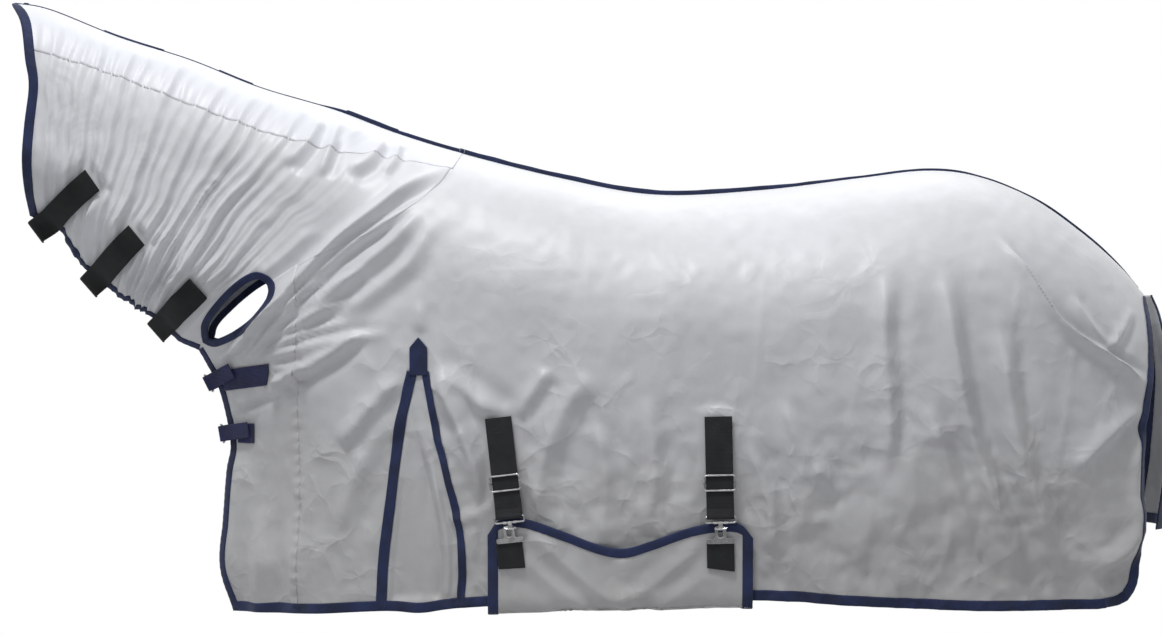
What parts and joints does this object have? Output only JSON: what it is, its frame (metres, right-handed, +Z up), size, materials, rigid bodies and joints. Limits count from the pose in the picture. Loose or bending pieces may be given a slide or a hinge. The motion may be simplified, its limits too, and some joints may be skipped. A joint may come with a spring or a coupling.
{
  "type": "fly sheet",
  "caption": "Full-neck horse fly sheet in white cloth with navy tape, belly band, chest buckles, neck closures and tail flap.",
  "frame": {"origin": "the withers on the sheet's centre plane, where the spine tape lies on the horse's back", "axes": "+X towards the tail, +Y towards the horse's right side, +Z up"},
  "size_m": [2.0888, 0.5934, 1.0933],
  "materials": {
    "cloth": "thin polyester with a satin sheen",
    "crest_cloth": "thin polyester with a satin sheen, paler",
    "navy_tape": "woven binding tape",
    "navy_webbing": "woven polypropylene webbing",
    "black_webbing": "woven elastic webbing and hook-and-loop tape",
    "metal": "nickel-plated steel wire"
  },
  "bodies": {
    "sheet": {"crest_panel_l": "crest_cloth", "neck_panel_l": "cloth", "chest_panel_l": "cloth", "body_panel_l": "cloth", "gusset_l": "cloth", "gusset_tape_fore_l": "navy_tape", "gusset_tape_hind_l": "navy_tape", "gusset_cap_l": "navy_tape", "poll_binding_l": "navy_tape", "throat_binding_l": "navy_tape", "keyhole_binding_l": "navy_tape", "front_binding_l": "navy_tape", "hem_binding_l": "navy_tape", "crest_panel_r": "crest_cloth", "neck_panel_r": "cloth", "chest_panel_r": "cloth", "body_panel_r": "cloth", "gusset_r": "cloth", "gusset_tape_fore_r": "navy_tape", "gusset_tape_hind_r": "navy_tape", "gusset_cap_r": "navy_tape", "poll_binding_r": "navy_tape", "throat_binding_r": "navy_tape", "keyhole_binding_r": "navy_tape", "front_binding_r": "navy_tape", "hem_binding_r": "navy_tape", "spine_binding": "navy_tape", "crest_binding": "navy_tape", "neck_loop_patch_1": "black_webbing", "neck_loop_patch_2": "black_webbing", "neck_loop_patch_3": "black_webbing", "chest_patch_upper": "navy_webbing", "chest_buckle_upper": "metal", "chest_billet_upper": "navy_webbing", "chest_patch_lower": "navy_webbing", "chest_buckle_lower": "metal", "chest_billet_lower": "navy_webbing"},
    "neck_strap_1": {"neck_strap_1": "black_webbing"},
    "neck_strap_2": {"neck_strap_2": "black_webbing"},
    "neck_strap_3": {"neck_strap_3": "black_webbing"},
    "chest_tongue_upper": {"chest_tongue_upper": "metal"},
    "chest_tongue_lower": {"chest_tongue_lower": "metal"},
    "belly_band": {"belly_band": "cloth", "belly_band_front_binding": "navy_tape", "belly_band_top_binding": "navy_tape", "belly_band_rear_binding": "navy_tape", "belly_tab_front": "black_webbing", "t_lock_plate_front": "metal", "belly_tab_rear": "black_webbing", "t_lock_plate_rear": "metal"},
    "belly_strap_front": {"belly_strap_front": "black_webbing"},
    "belly_slider_front": {"belly_slider_front": "metal"},
    "t_hook_front": {"t_hook_front": "metal"},
    "belly_strap_rear": {"belly_strap_rear": "black_webbing"},
    "belly_slider_rear": {"belly_slider_rear": "metal"},
    "t_hook_rear": {"t_hook_rear": "metal"},
    "tail_flap": {"tail_flap": "cloth", "tail_flap_binding": "navy_tape"}
  },
  "joints": [
    {"name": "belly_band_drop", "type": "hinge", "parent": "sheet", "child": "belly_band", "pos_m": [0.2845, 0.2391, -0.79917], "axis": [1, 0, 0], "range_deg": [0, 95]},
    {"name": "belly_strap_lift_front", "type": "hinge", "parent": "sheet", "child": "belly_strap_front", "pos_m": [0.07533, -0.25069, -0.4638], "axis": [-0.9702, 0.2122, -0.117], "range_deg": [0, 120]},
    {"name": "belly_slider_slide_front", "type": "slide", "parent": "belly_strap_front", "child": "belly_slider_front", "axis": [-0.1126, 0.0328, 0.9931], "range_m": [-0.022, 0.07]},
    {"name": "t_hook_swing_front", "type": "hinge", "parent": "belly_strap_front", "child": "t_hook_front", "pos_m": [0.09458, -0.25629, -0.63362], "axis": [-0.9702, 0.2122, -0.117], "range_deg": [0, 80]},
    {"name": "belly_strap_lift_rear", "type": "hinge", "parent": "sheet", "child": "belly_strap_rear", "pos_m": [0.45186, -0.29458, -0.46067], "axis": [-0.9994, 0.0248, -0.0223], "range_deg": [0, 120]},
    {"name": "belly_slider_slide_rear", "type": "slide", "parent": "belly_strap_rear", "child": "belly_slider_rear", "axis": [-0.0223, 0.0015, 0.9998], "range_m": [-0.022, 0.07]},
    {"name": "t_hook_swing_rear", "type": "hinge", "parent": "belly_strap_rear", "child": "t_hook_rear", "pos_m": [0.45566, -0.29483, -0.63163], "axis": [-0.9994, 0.0248, -0.0223], "range_deg": [0, 80]},
    {"name": "neck_strap_peel_1", "type": "hinge", "parent": "sheet", "child": "neck_strap_1", "pos_m": [-0.76327, 0.006, -0.13931], "axis": [0.5951, 0, -0.8036], "range_deg": [0, 110]},
    {"name": "neck_strap_peel_2", "type": "hinge", "parent": "sheet", "child": "neck_strap_2", "pos_m": [-0.66835, 0.006, -0.23847], "axis": [0.6563, 0, -0.7545], "range_deg": [0, 110]},
    {"name": "neck_strap_peel_3", "type": "hinge", "parent": "sheet", "child": "neck_strap_3", "pos_m": [-0.5473, 0.006, -0.31952], "axis": [0.659, 0, -0.7522], "range_deg": [0, 110]},
    {"name": "chest_tongue_turn_upper", "type": "hinge", "parent": "sheet", "child": "chest_tongue_upper", "pos_m": [-0.45156, -0.0103, -0.41015], "axis": [-0.45, 0, 0.893], "range_deg": [0, 110]},
    {"name": "chest_tongue_turn_lower", "type": "hinge", "parent": "sheet", "child": "chest_tongue_lower", "pos_m": [-0.42699, -0.0103, -0.50051], "axis": [-0.1661, 0, 0.9861], "range_deg": [0, 110]},
    {"name": "tail_flap_lift", "type": "hinge", "parent": "sheet", "child": "tail_flap", "pos_m": [1.241, 0, -0.252], "axis": [0, -1, 0], "range_deg": [0, 100]}
  ]
}
